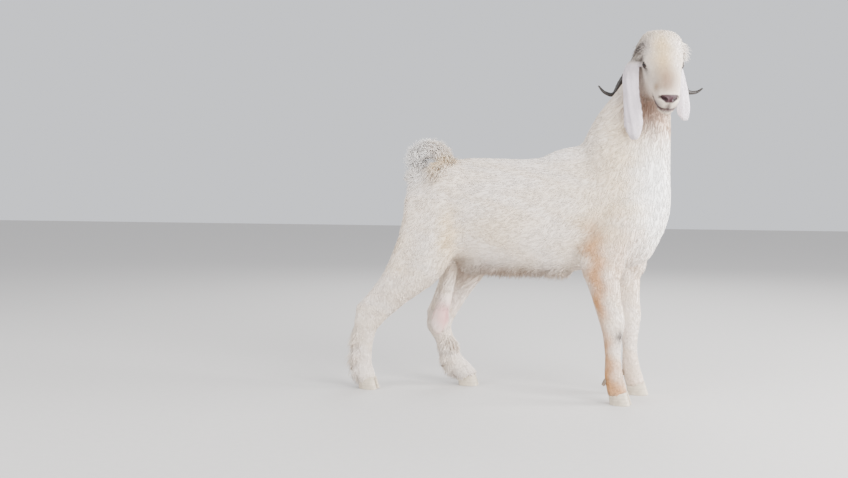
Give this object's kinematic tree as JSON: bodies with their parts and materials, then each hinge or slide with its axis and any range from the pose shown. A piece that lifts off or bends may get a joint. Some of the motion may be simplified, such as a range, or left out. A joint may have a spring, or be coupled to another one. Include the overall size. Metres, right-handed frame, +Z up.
{
  "type": "goat, standing lop-eared buck",
  "caption": "Standing long-legged white goat with long drooping ears, a convex face turned aside, slim curled horns and a tail curled over its rump.",
  "frame": {"origin": "on the floor, under the middle of the animal's bounding box", "axes": "+X forwards, the way the body faces; +Y to the animal's left; +Z up. The head is turned to the animal's right, towards -Y."},
  "size_m": [1.2908, 0.3588, 1.298],
  "materials": {
    "coat": "short matt white hair, creamy in places",
    "bare_skin": "soft, greyish pink, thinly haired",
    "horn": "near-black horn, ringed, slightly shiny",
    "hoof": "dull grey-brown horn",
    "eye": "wet, dark amber-brown, opaque"
  },
  "bodies": {
    "root": {"barrel": "coat", "belly_fringe": "coat", "cannon_fore_left": "coat", "cannon_fore_right": "coat", "cannon_hind_left": "coat", "cannon_hind_right": "coat", "chest": "coat", "claw_fore_left_left": "hoof", "claw_fore_left_right": "hoof", "claw_fore_right_left": "hoof", "claw_fore_right_right": "hoof", "claw_hind_left_left": "hoof", "claw_hind_left_right": "hoof", "claw_hind_right_left": "hoof", "claw_hind_right_right": "hoof", "dewclaw_fore_left_left": "hoof", "dewclaw_fore_left_right": "hoof", "dewclaw_fore_right_left": "hoof", "dewclaw_fore_right_right": "hoof", "dewclaw_hind_left_left": "hoof", "dewclaw_hind_left_right": "hoof", "dewclaw_hind_right_left": "hoof", "dewclaw_hind_right_right": "hoof", "ear_left": "coat", "ear_right": "coat", "eye_left": "eye", "eye_right": "eye", "feather_hind_left": "coat", "feather_hind_right": "coat", "head": "coat", "hindquarters": "coat", "horn_left": "horn", "horn_right": "horn", "neck": "coat", "pastern_fore_left": "coat", "pastern_fore_right": "coat", "pastern_hind_left": "coat", "pastern_hind_right": "coat", "scrotum": "bare_skin", "tail": "coat", "upper_leg_fore_left": "coat", "upper_leg_fore_right": "coat", "upper_leg_hind_left": "coat", "upper_leg_hind_right": "coat"}
  },
  "joints": []
}
